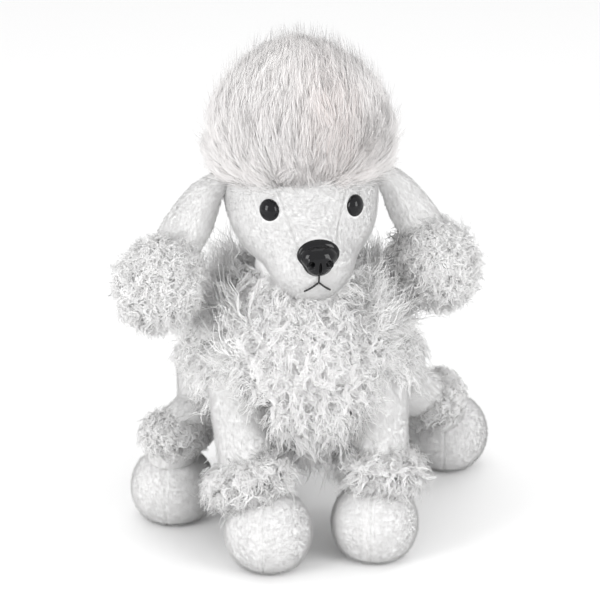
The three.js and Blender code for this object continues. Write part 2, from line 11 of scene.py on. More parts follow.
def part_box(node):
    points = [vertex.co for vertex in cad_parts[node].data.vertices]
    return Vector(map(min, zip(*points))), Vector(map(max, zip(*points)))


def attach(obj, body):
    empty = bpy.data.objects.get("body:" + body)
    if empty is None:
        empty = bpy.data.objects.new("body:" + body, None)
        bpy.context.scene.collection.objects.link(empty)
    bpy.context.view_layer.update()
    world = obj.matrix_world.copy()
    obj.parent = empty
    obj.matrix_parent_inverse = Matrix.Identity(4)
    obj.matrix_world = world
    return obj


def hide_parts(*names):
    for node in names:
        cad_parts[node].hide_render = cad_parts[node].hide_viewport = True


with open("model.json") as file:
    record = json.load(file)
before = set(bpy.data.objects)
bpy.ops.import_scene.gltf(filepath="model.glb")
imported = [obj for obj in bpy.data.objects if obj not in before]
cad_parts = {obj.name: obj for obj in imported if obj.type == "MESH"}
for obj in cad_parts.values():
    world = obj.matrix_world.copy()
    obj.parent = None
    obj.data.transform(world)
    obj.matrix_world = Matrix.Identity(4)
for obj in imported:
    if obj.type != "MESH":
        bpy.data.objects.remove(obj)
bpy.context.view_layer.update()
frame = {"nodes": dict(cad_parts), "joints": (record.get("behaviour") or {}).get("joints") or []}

MM = 0.001
PER_M2 = 1e6
UP = np.array([0.0, 0.0, 1.0])
LEGS = ("front_right", "front_left", "hind_right", "hind_left")
JOINTS = {joint["name"]: joint for joint in frame["joints"]}
SEEDS = {"head": 11, "topknot": 21, "ear_flap": 31, "ear_pom": 41, "torso": 51, "neck": 56,
         "ruff": 57, "legs": 61, "tail": 91, "tail_pom": 95}
SEEDS_PER_LEG = 5


# ---- Places read from the frame ----------------------------------------------------------------


def low_high(node):
    """The lowest and highest corner of a node's box."""
    low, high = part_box(node)
    return np.array(low), np.array(high)


def middle_of(node):
    low, high = low_high(node)
    return (low + high) / 2


def pivot_of(joint):
    return np.array(JOINTS[joint]["pos_m"])


def unit(vectors):
    """Vectors at length one, over the last axis."""
    length = np.linalg.norm(vectors, axis=-1, keepdims=True)
    return vectors / np.maximum(length, 1e-12)


NECK = pivot_of("neck_turn")
TORSO_LOW, TORSO_HIGH = low_high("torso_cover")
TOPKNOT_LOW, TOPKNOT_HIGH = low_high("topknot")

# The head's own frame: its yaw lies halfway between the two ear seams.
ear_seams = np.array(JOINTS["ear_left_swing"]["axis"]) + np.array(JOINTS["ear_right_swing"]["axis"])
HEAD_YAW = math.atan2(-ear_seams[0], ear_seams[1])
# How far the crown seam stands above the head's middle, and the skull's middle behind it.
CROWN_SEAM = 13 * MM
SKULL_BACK = 4 * MM
yaw_cos, yaw_sin = math.cos(HEAD_YAW), math.sin(HEAD_YAW)
HEAD_TURN = np.array([[yaw_cos, -yaw_sin, 0], [yaw_sin, yaw_cos, 0], [0, 0, 1]])
topknot_middle = (TOPKNOT_LOW + TOPKNOT_HIGH) / 2
HEAD_MIDDLE = np.array([topknot_middle[0], topknot_middle[1], TOPKNOT_LOW[2] - CROWN_SEAM])
HEAD_MIDDLE = HEAD_MIDDLE - HEAD_TURN @ np.array([0, SKULL_BACK, 0])


def from_head(points):
    """Points in the head's own frame, in metres, moved to the shared frame."""
    return np.asarray(points) @ HEAD_TURN.T + HEAD_MIDDLE


def to_head(points):
    """Points in the shared frame moved to the head's own frame, in metres."""
    return (np.asarray(points) - HEAD_MIDDLE) @ HEAD_TURN


# ---- Camera, lights and floor ------------------------------------------------------------------

VIEW_DISTANCE = 1.1
VIEW_HEIGHT = math.radians(20)
VIEW_TARGET = NECK + np.array([-1.9, -6.8, -19.9]) * MM
LENS = 138.6
SENSOR_WIDTH = 36

FLOOR_HALF = 6.0
FLOOR_WHITE = 0.88
PANEL_WIDTH, PANEL_HEIGHT = 0.5, 0.8
TOP_PANEL = 0.9
KEY_PLACE, KEY_WATTS = (-1.0, -0.85, 0.48), 9.0
FILL_PLACE, FILL_WATTS = (1.0, -0.85, 0.48), 7.5
TOP_PLACE, TOP_WATTS = (0.0, 0.1, 1.3), 2.0


def make_camera():
    back = np.array([0, -math.cos(VIEW_HEIGHT), math.sin(VIEW_HEIGHT)])
    data = bpy.data.cameras.new("camera")
    data.lens = LENS
    data.sensor_width = SENSOR_WIDTH
    camera = bpy.data.objects.new("camera", data)
    camera.location = Vector(VIEW_TARGET + back * VIEW_DISTANCE)
    camera.rotation_euler = (math.pi / 2 - VIEW_HEIGHT, 0, 0)
    bpy.context.scene.collection.objects.link(camera)
    bpy.context.scene.camera = camera


def make_light(name, place, width, height, watts):
    """A soft light panel, aimed at the dog's neck."""
    data = bpy.data.lights.new(name, "AREA")
    data.shape = "RECTANGLE"
    data.size = width
    data.size_y = height
    data.energy = watts
    light = bpy.data.objects.new(name, data)
    light.location = Vector(place)
    light.rotation_euler = (Vector(NECK) - Vector(place)).to_track_quat("-Z", "Y").to_euler()
    bpy.context.scene.collection.objects.link(light)


def make_studio():
    """A white surround, three soft panels and a plain pale floor."""
    world = bpy.data.worlds.new("studio")
    bpy.context.scene.world = world
    world.use_nodes = True
    background = world.node_tree.nodes["Background"]
    background.inputs["Color"].default_value = (1, 1, 1, 1)
    background.inputs["Strength"].default_value = 1.0
    make_light("key", KEY_PLACE, PANEL_WIDTH, PANEL_HEIGHT, KEY_WATTS)
    make_light("fill", FILL_PLACE, PANEL_WIDTH, PANEL_HEIGHT, FILL_WATTS)
    make_light("top", TOP_PLACE, TOP_PANEL, TOP_PANEL, TOP_WATTS)
    bpy.context.scene.view_settings.view_transform = "Standard"

    material = bpy.data.materials.new("studio_floor")
    material.use_nodes = True
    shader = material.node_tree.nodes["Principled BSDF"]
    shader.inputs["Base Color"].default_value = (FLOOR_WHITE, FLOOR_WHITE, FLOOR_WHITE, 1)
    shader.inputs["Roughness"].default_value = 0.9
    half = FLOOR_HALF
    corners = [(-half, -half, 0), (half, -half, 0), (half, half, 0), (-half, half, 0)]
    data = bpy.data.meshes.new("floor")
    data.from_pydata(corners, [], [(0, 1, 2, 3)])
    data.materials.append(material)
    floor = bpy.data.objects.new("floor", data)
    bpy.context.scene.collection.objects.link(floor)


# ---- Materials ---------------------------------------------------------------------------------


def new_material(name, roughness, sheen=0.0):
    """A material with its node tree and its main shader."""
    material = bpy.data.materials.new(name)
    material.use_nodes = True
    shader = material.node_tree.nodes["Principled BSDF"]
    shader.inputs["Roughness"].default_value = roughness
    shader.inputs["Sheen Weight"].default_value = sheen
    shader.inputs["Sheen Roughness"].default_value = 0.5
    return material, material.node_tree, shader


def ramp(tree, value, stops):
    """A colour ramp over a value, from (position, colour) stops."""
    node = tree.nodes.new("ShaderNodeValToRGB")
    elements = node.color_ramp.elements
    while len(elements) < len(stops):
        elements.new(0.5)
    for element, (position, colour) in zip(elements, stops):
        element.position = position
        element.color = (*colour, 1)
    tree.links.new(value, node.inputs["Fac"])
    return node.outputs["Color"]


def uneven_surface(tree, shader, grain, detail, strength, depth):
    """Noise of a grain size bound to the object, which also raises the surface a little."""
    place = tree.nodes.new("ShaderNodeTexCoord")
    noise = tree.nodes.new("ShaderNodeTexNoise")
    noise.inputs["Scale"].default_value = grain
    noise.inputs["Detail"].default_value = detail
    tree.links.new(place.outputs["Object"], noise.inputs["Vector"])
    bump = tree.nodes.new("ShaderNodeBump")
    bump.inputs["Strength"].default_value = strength
    bump.inputs["Distance"].default_value = depth
    tree.links.new(noise.outputs["Fac"], bump.inputs["Height"])
    tree.links.new(bump.outputs["Normal"], shader.inputs["Normal"])
    return noise.outputs["Fac"]


def fibre_material(name, root, tip, tinted):
    """Pile whose strands go from a darker root colour, painted shade deep in the pile, to a tip
    colour, some of them tinted.

    Its UV layer says how far along a strand each point is, and how tinted the strand is."""
    material, tree, shader = new_material(name, roughness=0.75, sheen=0.15)
    shader.inputs["Specular IOR Level"].default_value = 0.25
    layer = tree.nodes.new("ShaderNodeUVMap")
    layer.uv_map = "OFBake"
    split = tree.nodes.new("ShaderNodeSeparateXYZ")
    tree.links.new(layer.outputs["UV"], split.inputs["Vector"])
    # The root colour is darker than the tip: painted shade deep in the pile, where the strands crowd
    # together.
    along = ramp(tree, split.outputs["Y"], [(0.0, root), (0.55, tip)])
    other = ramp(tree, split.outputs["X"], [(0.0, (1, 1, 1)), (1.0, tinted)])
    mix = tree.nodes.new("ShaderNodeMix")
    mix.data_type = "RGBA"
    mix.blend_type = "MULTIPLY"
    mix.inputs["Factor"].default_value = 1
    tree.links.new(along, mix.inputs["A"])
    tree.links.new(other, mix.inputs["B"])
    tree.links.new(mix.outputs["Result"], shader.inputs["Base Color"])
    return material


def cloth_material(name, dark, light, grain):
    """The woven backing under the pile: fine mottling and a nap that catches the light."""
    material, tree, shader = new_material(name, roughness=0.9, sheen=0.3)
    shader.inputs["Specular IOR Level"].default_value = 0.2
    mottling = uneven_surface(tree, shader, grain, detail=4, strength=0.35, depth=0.15 * MM)
    colour = ramp(tree, mottling, [(0.3, dark), (0.7, light)])
    tree.links.new(colour, shader.inputs["Base Color"])
    return material


def gloss_material(name, colour, roughness, grain):
    """Moulded black plastic with a faint unevenness in its polish."""
    material, tree, shader = new_material(name, roughness)
    shader.inputs["Base Color"].default_value = (*colour, 1)
    shader.inputs["IOR"].default_value = 1.34
    uneven_surface(tree, shader, grain, detail=2, strength=0.15, depth=0.1 * MM)
    return material


# The piles and backings are one white plush, painted at different levels to even out the light. The
# short pile and its backing are darker, which is painted shade on parts that face the lamps. The curly
# pile and its backing are lighter, which is painted light on parts deep in their own shade. The long
# pile lies in between. In each pile the root colour is darker than the tip, which is painted shade
# deep in the pile.
SHORT_PILE = fibre_material(
    "short_pile", root=(0.72, 0.718, 0.716), tip=(0.735, 0.733, 0.731), tinted=(0.98, 0.975, 0.97))
CURLY_PILE = fibre_material(
    "curly_pile", root=(0.93, 0.928, 0.925), tip=(0.97, 0.968, 0.966), tinted=(0.97, 0.965, 0.96))
LONG_PILE = fibre_material(
    "long_pile", root=(0.83, 0.822, 0.818), tip=(0.88, 0.87, 0.866), tinted=(0.95, 0.88, 0.86))
# Each backing's level matches its pile's root, with the same painted shade or painted light.
BACKING = cloth_material("plush_backing", (0.72, 0.718, 0.716), (0.75, 0.748, 0.746), 900)
DEEP_BACKING = cloth_material("curly_backing", (0.90, 0.897, 0.895), (0.94, 0.938, 0.935), 600)
BLACK_PLASTIC = gloss_material("black_plastic", (0.006, 0.006, 0.007), 0.07, 300)
BLACK_THREAD = cloth_material("black_thread", (0.008, 0.008, 0.008), (0.03, 0.03, 0.03), 2500)


# ---- Shapes ------------------------------------------------------------------------------------

# Halvings of a search along a line, which bring it well under a micron.
HALVINGS = 26


def ellipsoid(points, middle, radii, turn=None):
    """Signed distance, nearly, from points to an ellipsoid. turn is its own axes as rows."""
    local = points - np.asarray(middle)
    if turn is not None:
        local = local @ np.asarray(turn).T
    radii = np.asarray(radii)
    near = np.linalg.norm(local / radii, axis=-1)
    far = np.linalg.norm(local / radii**2, axis=-1)
    return near * (near - 1) / np.maximum(far, 1e-9)


def capsule(points, start, end, radius):
    """Distance from points to a rod with round ends."""
    along = end - start
    share = np.clip((points - start) @ along / (along @ along), 0, 1)
    return np.linalg.norm(points - start - share[:, None] * along, axis=-1) - radius


def blended(first, second, soft):
    """The union of two distance fields with a soft crease."""
    share = np.clip(0.5 + 0.5 * (second - first) / soft, 0, 1)
    return second + (first - second) * share - soft * share * (1 - share)


def hollowed(first, second, soft):
    """The first field with the second one cut out of it, with a soft edge."""
    return -blended(-first, second, soft)


def mesh_piece(name, points, faces, material, body):
    """A named smooth piece that rides on a body, from its points and faces."""
    data = bpy.data.meshes.new(name)
    data.from_pydata([tuple(p) for p in points], [], [tuple(int(i) for i in f) for f in faces])
    data.update()
    data.polygons.foreach_set("use_smooth", [True] * len(data.polygons))
    data.materials.append(material)
    piece = bpy.data.objects.new(name, data)
    bpy.context.scene.collection.objects.link(piece)
    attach(piece, body)
    return piece


def icosphere(detail):
    """Even directions all round, and the triangles between them."""
    ball = bmesh.new()
    bmesh.ops.create_icosphere(ball, subdivisions=detail, radius=1)
    points = np.array([v.co for v in ball.verts])
    faces = np.array([[v.index for v in f.verts] for f in ball.faces])
    ball.free()
    return points, faces


def star_points(middle, field, detail, reach=120 * MM):
    """Where straight lines out of a middle point meet a distance field's surface."""
    directions, faces = icosphere(detail)
    near = np.full(len(directions), 0.5 * MM)
    far = np.full(len(directions), reach)
    for _ in range(HALVINGS):
        half = (near + far) / 2
        inside = field(middle + directions * half[:, None]) < 0
        near = np.where(inside, half, near)
        far = np.where(inside, far, half)
    return middle + directions * near[:, None], faces


def tube_points(line, radii, sides):
    """Rings of points round a line, closed at both ends by a last point, and the faces."""
    line = np.asarray(line)
    tangent = unit(np.gradient(line, axis=0))
    side = unit(np.cross(tangent, np.array([0.31, 0.95, 0.11])))
    other = np.cross(tangent, side)
    angle = np.arange(sides) * 2 * math.pi / sides
    ring = np.cos(angle)[None, :, None] * side[:, None] + np.sin(angle)[None, :, None] * other[:, None]
    points = (line[:, None] + ring * np.asarray(radii)[:, None, None]).reshape(-1, 3)
    points = np.vstack([points, line[0], line[-1]])
    faces = []
    for k in range(len(line) - 1):
        for i in range(sides):
            j = (i + 1) % sides
            faces.append((k * sides + i, k * sides + j, (k + 1) * sides + j, (k + 1) * sides + i))
    first, last = len(points) - 2, len(points) - 1
    top = (len(line) - 1) * sides
    for i in range(sides):
        j = (i + 1) % sides
        faces.append((first, j, i))
        faces.append((last, top + i, top + j))
    return points, faces


def smooth_line(points, steps):
    """A Catmull-Rom curve through points, as a dense line."""
    points = np.asarray(points, float)
    padded = np.vstack([2 * points[0] - points[1], points, 2 * points[-1] - points[-2]])
    line = []
    for i in range(1, len(padded) - 2):
        a, b, c, d = padded[i - 1:i + 3]
        for t in np.arange(steps) / steps:
            line.append(0.5 * (2 * b + (c - a) * t + (2 * a - 5 * b + 4 * c - d) * t**2
                               + (3 * b - a - 3 * c + d) * t**3))
    return np.array([*line, points[-1]])


# ---- Pile --------------------------------------------------------------------------------------


def scatter(piece, per_mm2, rng, keep=None):
    """Random roots on a piece, with the surface's normals there. keep picks roots by place."""
    data = piece.data
    data.calc_loop_triangles()
    corners = np.empty(len(data.loop_triangles) * 3, np.int32)
    data.loop_triangles.foreach_get("vertices", corners)
    corners = corners.reshape(-1, 3)
    places = np.empty(len(data.vertices) * 3, np.float32)
    data.vertices.foreach_get("co", places)
    places = places.reshape(-1, 3).astype(float)
    normals = np.empty(len(data.vertices) * 3, np.float32)
    data.vertex_normals.foreach_get("vector", normals)
    normals = normals.reshape(-1, 3).astype(float)
    a, b, c = (places[corners[:, i]] for i in range(3))
    areas = np.linalg.norm(np.cross(b - a, c - a), axis=1) / 2
    count = int(areas.sum() * PER_M2 * per_mm2)
    chosen = rng.choice(len(areas), count, p=areas / areas.sum())
    u = np.sqrt(rng.random(count))[:, None]
    v = rng.random(count)[:, None]
    weights = (1 - u, u * (1 - v), u * v)
    roots = sum(w * places[corners[chosen, i]] for i, w in enumerate(weights))
    facing = unit(sum(w * normals[corners[chosen, i]] for i, w in enumerate(weights)))
    if keep is not None:
        kept = keep(roots)
        roots, facing = roots[kept], facing[kept]
    return roots, facing


def tangents(facing, rng):
    """Random directions that lie in the surface."""
    noise = rng.normal(size=facing.shape)
    return unit(noise - (noise * facing).sum(-1, keepdims=True) * facing)


# Each strand is a thin rod of this many sides, thinner towards its tip, where it is a point.
STRAND_SIDES = 3
STRAND_TAPER = 0.55
# A piece of many strands stays under this many triangles.
MOST_TRIANGLES = 198000


def strand_faces(steps):
    """One strand's face corners in a row, and where each face starts in that row."""
    loops, starts = [], []
    last_ring = STRAND_SIDES * (steps - 2)
    tip = last_ring + STRAND_SIDES
    for ring in range(0, last_ring, STRAND_SIDES):
        above = ring + STRAND_SIDES
        for i in range(STRAND_SIDES):
            j = (i + 1) % STRAND_SIDES
            starts.append(len(loops))
            loops += [ring + i, ring + j, above + j, above + i]
    for i in range(STRAND_SIDES):
        starts.append(len(loops))
        loops += [last_ring + i, last_ring + (i + 1) % STRAND_SIDES, tip]
    starts.append(len(loops))
    loops += list(reversed(range(STRAND_SIDES)))
    return np.array(loops), np.array(starts)


def strand_mesh(title, points, normals, tint, heights):
    """A mesh of many strands of the same number of points, shaded with the normals given."""
    number, per = points.shape[:2]
    loops, starts = strand_faces((per - 1) // STRAND_SIDES + 1)
    data = bpy.data.meshes.new(title)
    data.vertices.add(number * per)
    data.vertices.foreach_set("co", points.astype(np.float32).ravel())
    data.loops.add(number * len(loops))
    corner = (loops[None] + (np.arange(number) * per)[:, None]).ravel()
    data.loops.foreach_set("vertex_index", corner.astype(np.int32))
    data.polygons.add(number * len(starts))
    first = (starts[None] + (np.arange(number) * len(loops))[:, None]).ravel()
    data.polygons.foreach_set("loop_start", first.astype(np.int32))
    data.polygons.foreach_set("use_smooth", np.ones(number * len(starts), bool))
    layer = data.uv_layers.new(name="OFBake")
    uv = np.stack([np.repeat(tint, len(loops)), np.tile(heights[loops], number)], -1)
    layer.data.foreach_set("uv", uv.astype(np.float32).ravel())
    data.update(calc_edges=True)
    shading = data.attributes.new("custom_normal", "FLOAT_VECTOR", "POINT")
    shading.data.foreach_set("vector", normals.astype(np.float32).ravel())
    return data


def add_pile(name, lines, facing, soft, radius, tint, material, body, most):
    """Fine closed strands along lines, in pieces of at most so many strands.

    soft is how far each strand is shaded like the surface that it grows from, which is how
    light that scatters from fibre to fibre makes deep pile look."""
    count, steps, _ = lines.shape
    # No strand goes through the floor that the dog stands on.
    lines[..., 2] = np.maximum(lines[..., 2], radius)
    tangent = unit(np.gradient(lines, axis=1))
    helper = unit(np.cross(tangent[:, :1], np.array([0.37, 0.21, 0.9])))
    side = unit(np.cross(tangent, np.broadcast_to(helper, tangent.shape)))
    other = np.cross(tangent, side)
    share = np.linspace(0, 1, steps)
    thick = radius * (1 - STRAND_TAPER * share[:-1] ** 2)
    angle = (np.arange(STRAND_SIDES) * 2 * math.pi / STRAND_SIDES)[:, None]
    ring = np.cos(angle) * side[:, :-1, None] + np.sin(angle) * other[:, :-1, None]
    thick = np.broadcast_to(thick, (count, steps - 1))[..., None, None]
    points = (lines[:, :-1, None] + ring * thick).reshape(count, -1, 3)
    points = np.concatenate([points, lines[:, -1:]], axis=1)
    round_normals = np.concatenate([ring.reshape(count, -1, 3), tangent[:, -1:]], axis=1)
    normals = unit(soft * facing[:, None] + (1 - soft) * round_normals)
    heights = np.append(np.repeat(share[:-1], STRAND_SIDES), 1.0)
    parts = max(1, math.ceil(count / most))
    for part, chosen in enumerate(np.array_split(np.arange(count), parts)):
        title = name if parts == 1 else f"{name}_{part + 1}"
        data = strand_mesh(title, points[chosen], normals[chosen], tint[chosen], heights)
        data.materials.append(material)
        piece = bpy.data.objects.new(title, data)
        bpy.context.scene.collection.objects.link(piece)
        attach(piece, body)


NAP_RADIUS = 0.1 * MM
NAP_ROOT_DEPTH = 0.2 * MM
NAP_LENGTHS = (0.6, 1.15)
NAP_STANDING = 0.8
NAP_UNTIDY = 0.25
NAP_SOFT = 0.92
NAP_MOST = 48000


def short_pile(piece, body, seed, per_mm2, length, comb, keep=None):
    """A short dense nap over a piece, laid over in one direction. length is in mm."""
    rng = np.random.default_rng(seed)
    roots, facing = scatter(piece, per_mm2, rng, keep)
    comb = np.asarray(comb, float)
    flat = comb - (facing @ comb)[:, None] * facing
    grain = unit(NAP_STANDING * facing + flat + NAP_UNTIDY * tangents(facing, rng))
    reach = length * MM * rng.uniform(*NAP_LENGTHS, len(roots))
    tips = roots + grain * reach[:, None]
    lines = np.stack([roots - facing * NAP_ROOT_DEPTH, tips], axis=1)
    tint = rng.random(len(roots))
    name = piece.name.replace("_skin", "") + "_nap"
    add_pile(name, lines, facing, NAP_SOFT, NAP_RADIUS, tint, SHORT_PILE, body, NAP_MOST)


LOCK_STEPS = 9
LOCK_MOST = MOST_TRIANGLES // (2 * STRAND_SIDES * LOCK_STEPS - 2)
LOCK_SOFT = 0.92
LOCK_RADIUS = 0.13 * MM
LOCK_WIDTH = 0.35 * MM
LOCK_LENGTHS = (0.6, 1.15)
LOCK_SWIRLS = (0.9, 2.5)
LOCK_TURNS = (1.1, 2.7)
LOCK_BOW = 0.75
LOCK_SHORTENING = 0.25
SWIRL_GROWTH = 0.6
SWIRL_CENTRING = 0.3
WISP_CHANCE, WISP_STRETCH = 0.05, 1.3
# How much the fibres of one lock differ from each other.
FIBRE_LEAN, FIBRE_SIDE, FIBRE_LENGTH, FIBRE_BOW = 0.07, 0.05, 0.07, 0.03
FIBRE_SWIRL, FIBRE_TURN, FIBRE_PHASE = 0.2 * MM, 0.1, 0.3


def curly_pile(piece, body, seed, locks_per_mm2, length, keep=None, fibres=3, droop=0.0,
               name=None, spread=0.55):
    """Loose crimped locks of a few fibres each, standing out of a piece and curling over.

    length is in mm. spread is how far locks lean off the surface's normal, and droop how far
    they hang, as shares of their length. Each lock winds round its own line with a swirl of a
    few turns, and bows to one side."""
    rng = np.random.default_rng(seed)
    roots, facing = scatter(piece, locks_per_mm2, rng, keep)
    locks = len(roots)
    share = np.linspace(0, 1, LOCK_STEPS)[None, :, None]
    lean = unit(facing + spread * tangents(facing, rng))
    wisp = rng.random(locks) < WISP_CHANCE
    reach = length * MM * rng.uniform(*LOCK_LENGTHS, locks) * np.where(wisp, WISP_STRETCH, 1)
    side = tangents(lean, rng)
    other = np.cross(lean, side)
    swirl = rng.uniform(*LOCK_SWIRLS, locks) * MM
    turns = rng.uniform(*LOCK_TURNS, locks) * rng.choice([-1, 1], locks)
    phase = rng.uniform(0, 2 * math.pi, locks)
    bow = rng.uniform(-LOCK_BOW, LOCK_BOW, locks) * reach

    def spread_out(values, noise):
        """Each lock's value for each of its fibres, a little different from fibre to fibre."""
        many = np.repeat(values, fibres, axis=0)
        return many + noise * rng.normal(size=many.shape)

    base = spread_out(roots, LOCK_WIDTH)
    facing = np.repeat(facing, fibres, axis=0)
    lean = unit(spread_out(lean, FIBRE_LEAN))
    side = spread_out(side, FIBRE_SIDE)
    other = spread_out(other, FIBRE_SIDE)
    reach = spread_out(reach, FIBRE_LENGTH * length * MM)[:, None, None]
    swirl = spread_out(swirl, FIBRE_SWIRL)[:, None, None]
    turns = spread_out(turns, FIBRE_TURN)[:, None, None]
    phase = spread_out(phase, FIBRE_PHASE)[:, None, None]
    bow = spread_out(bow, FIBRE_BOW * length * MM)[:, None, None]
    angle = phase + 2 * math.pi * turns * share
    lines = base[:, None] + lean[:, None] * reach * (share - LOCK_SHORTENING * share**2)
    curl = np.cos(angle) * side[:, None] + np.sin(angle) * other[:, None]
    start = np.cos(phase) * side[:, None] + np.sin(phase) * other[:, None]
    grown = share**SWIRL_GROWTH
    lines = lines + swirl * (grown * curl - grown * SWIRL_CENTRING * start)
    lines = lines + bow * share**2 * side[:, None]
    lines[..., 2] -= droop * (reach * share**2)[..., 0]
    tint = np.repeat(rng.random(locks), fibres)
    title = name or piece.name.replace("_skin", "") + "_curls"
    add_pile(title, lines, facing, LOCK_SOFT, LOCK_RADIUS, tint, CURLY_PILE, body,
             LOCK_MOST)


# ---- Head --------------------------------------------------------------------------------------

# The lobes of the head: a middle and radii each, in mm in the head's frame. There are two cheeks.
SKULL = ((0, 4, 6), (36, 36, 34))
CHEEK = ((13, -6, -4), (19.5, 24, 22))
MUZZLE = ((0, -22, -18.5), (20.5, 22, 21.5))
CHEEK_CREASE, MUZZLE_CREASE = 6, 7
FACE_DEPTH = 80.0


def head_field(points):
    """Distance to the head: a skull with two cheeks and a muzzle blended into it."""
    local = to_head(points) / MM
    skull = ellipsoid(local, *SKULL)
    cheeks = [ellipsoid(local, (s * CHEEK[0][0], *CHEEK[0][1:]), CHEEK[1]) for s in (-1, 1)]
    muzzle = ellipsoid(local, *MUZZLE)
    shape = blended(blended(skull, cheeks[0], CHEEK_CREASE), cheeks[1], CHEEK_CREASE)
    return blended(shape, muzzle, MUZZLE_CREASE) * MM


def head_surface(across, height):
    """The point on the front of the head at a place across and up, in the head's frame, in mm."""
    across = np.atleast_1d(across).astype(float)
    height = np.broadcast_to(np.asarray(height, float), across.shape)
    near = np.full(across.shape, 0.0)
    far = np.full(across.shape, FACE_DEPTH)
    for _ in range(HALVINGS):
        half = (near + far) / 2
        inside = head_field(from_head(np.stack([across, -half, height], -1) * MM)) < 0
        near = np.where(inside, half, near)
        far = np.where(inside, far, half)
    return np.stack([across, -near, height], -1)


GUSSET_LOW, GUSSET_HIGH = -12, 13
GUSSET_HALF_LOW, GUSSET_HALF_HIGH = 8, 15.5
SEAM_LOW, SEAM_HIGH = -14, 14
SEAM_FRONT = -8
SEAM_DEPTH, SEAM_WIDTH = 0.6, 0.6


def gusset_edge(height):
    """Half the width of the strip over the forehead and muzzle, in mm, at a height."""
    share = np.clip((height - GUSSET_LOW) / (GUSSET_HIGH - GUSSET_LOW), 0, 1)
    return GUSSET_HALF_LOW + (GUSSET_HALF_HIGH - GUSSET_HALF_LOW) * share


EYE_SPLAY = math.radians(40)
EYE_RADIUS = 5.0
EYE_DOME = 3.9
EYE_TALL = 1.08
EYE_WRAP = math.pi * 0.62
EYE_CLEAR = 5.2
NOSE_CLEAR = np.array([8, 6])
NAP_ABOVE_SEAM = 6


def eye_place(side):
    """Where an eye's dome stands on the face, and its outward direction, from the CAD dome's tip."""
    node = frame["nodes"][f"eye_{side}"]
    local = to_head(np.array([v.co for v in node.data.vertices])) / MM
    sign = 1 if side == "left" else -1
    outward = np.array([sign * math.sin(EYE_SPLAY), -math.cos(EYE_SPLAY), 0])
    tip = local[np.argmax(local @ outward)]
    return tip - outward * EYE_DOME, outward


def make_head():
    """The stuffed head with its gusset seams, and its nap clear of the eyes and the nose."""
    points, faces = star_points(from_head([0, 0, -2 * MM]), head_field, 7)
    local = to_head(points) / MM
    off_seam = np.abs(np.abs(local[:, 0]) - gusset_edge(local[:, 2]))
    in_front = (local[:, 1] < SEAM_FRONT) & (local[:, 2] > SEAM_LOW) & (local[:, 2] < SEAM_HIGH)
    groove = np.where(in_front, SEAM_DEPTH * np.exp(-(off_seam / SEAM_WIDTH) ** 2), 0)
    local[:, 1] += groove
    points = from_head(local * MM)
    head = mesh_piece("head_skin", points, faces, BACKING, "head")
    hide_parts("face_gusset", "cheek_left", "cheek_right", "chin_panel", "head_back_panel",
                "head_stuffing", "crown_panel", "eye_washer_left", "eye_washer_right", "nose_washer")

    eyes = [eye_place(side)[0] for side in ("left", "right")]
    nose = to_head(middle_of("nose")) / MM

    def keep(roots):
        place = to_head(roots) / MM
        clear = place[:, 2] < CROWN_SEAM / MM + NAP_ABOVE_SEAM
        for eye in eyes:
            clear &= np.linalg.norm(place - eye, axis=1) > EYE_CLEAR
        behind = place[:, 1] > 0
        off_nose = np.linalg.norm((place - nose)[:, ::2] / NOSE_CLEAR, axis=1) > 1
        return clear & (behind | off_nose)

    comb = HEAD_TURN @ np.array([0, -0.25, -0.8])
    short_pile(head, "head", SEEDS["head"], per_mm2=5.0, length=1.6, comb=comb, keep=keep)


def make_eye(side):
    """A glossy domed eye, whose rim wraps back into the face."""
    middle, outward = eye_place(side)
    across = unit(np.cross(outward, [0, 0, 1]))
    up = np.cross(across, outward)
    rings, sides = 14, 40
    rows = []
    for k in range(rings + 1):
        angle = EYE_WRAP * (1 - k / rings)
        rows.append((EYE_RADIUS * math.sin(angle), EYE_DOME * math.cos(angle)))
    turn = np.arange(sides) * 2 * math.pi / sides
    shell = [middle + outward * h + r * (math.cos(a) * across + EYE_TALL * math.sin(a) * up)
             for r, h in rows[:-1] for a in turn]
    shell += [middle + outward * EYE_DOME, middle + outward * rows[0][1]]
    faces = []
    for k in range(rings - 1):
        for i in range(sides):
            j = (i + 1) % sides
            faces.append((k * sides + i, k * sides + j, (k + 1) * sides + j, (k + 1) * sides + i))
    for i in range(sides):
        j = (i + 1) % sides
        faces.append(((rings - 1) * sides + i, (rings - 1) * sides + j, rings * sides))
        faces.append((j, i, rings * sides + 1))
    eye = mesh_piece(f"eye_{side}_dome", from_head(np.array(shell) * MM), faces, BLACK_PLASTIC,
                     "head")
    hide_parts(f"eye_{side}")


# The nose, in mm from its middle: the lobes of its rim and of its dome, and its nostrils.
NOSE_HEIGHT = -13.6
NOSE_OUT = 1.0
NOSE_TALL = 1.12
RIM_LOBES = (((0, 0.6, 1.4), (9.9, 2.8, 6.3)), ((0, 0.6, -3.4), (6.6, 2.8, 4.8)))
DOME_LOBES = (((0, -0.6, 0.6), (8.4, 5.6, 5.0)), ((0, -0.4, -3.2), (5.6, 5.0, 4.2)))
LOBE_CREASE, RIM_CREASE = 2.0, 0.5
NOSTRIL_APART, NOSTRIL_OUT, NOSTRIL_LOW = 3.9, -4.9, -1.3
NOSTRIL_RING, NOSTRIL_WIRE = 1.75, 0.6
NOSTRIL_RADII, NOSTRIL_CREASE = (1.25, 3.0, 1.25), 0.4
PHILTRUM, PHILTRUM_CREASE = ((0, -5.6, -4.6), (0.55, 2.2, 4.0)), 0.6
NOSE_CENTRE = np.array([0, 1.5, 0])


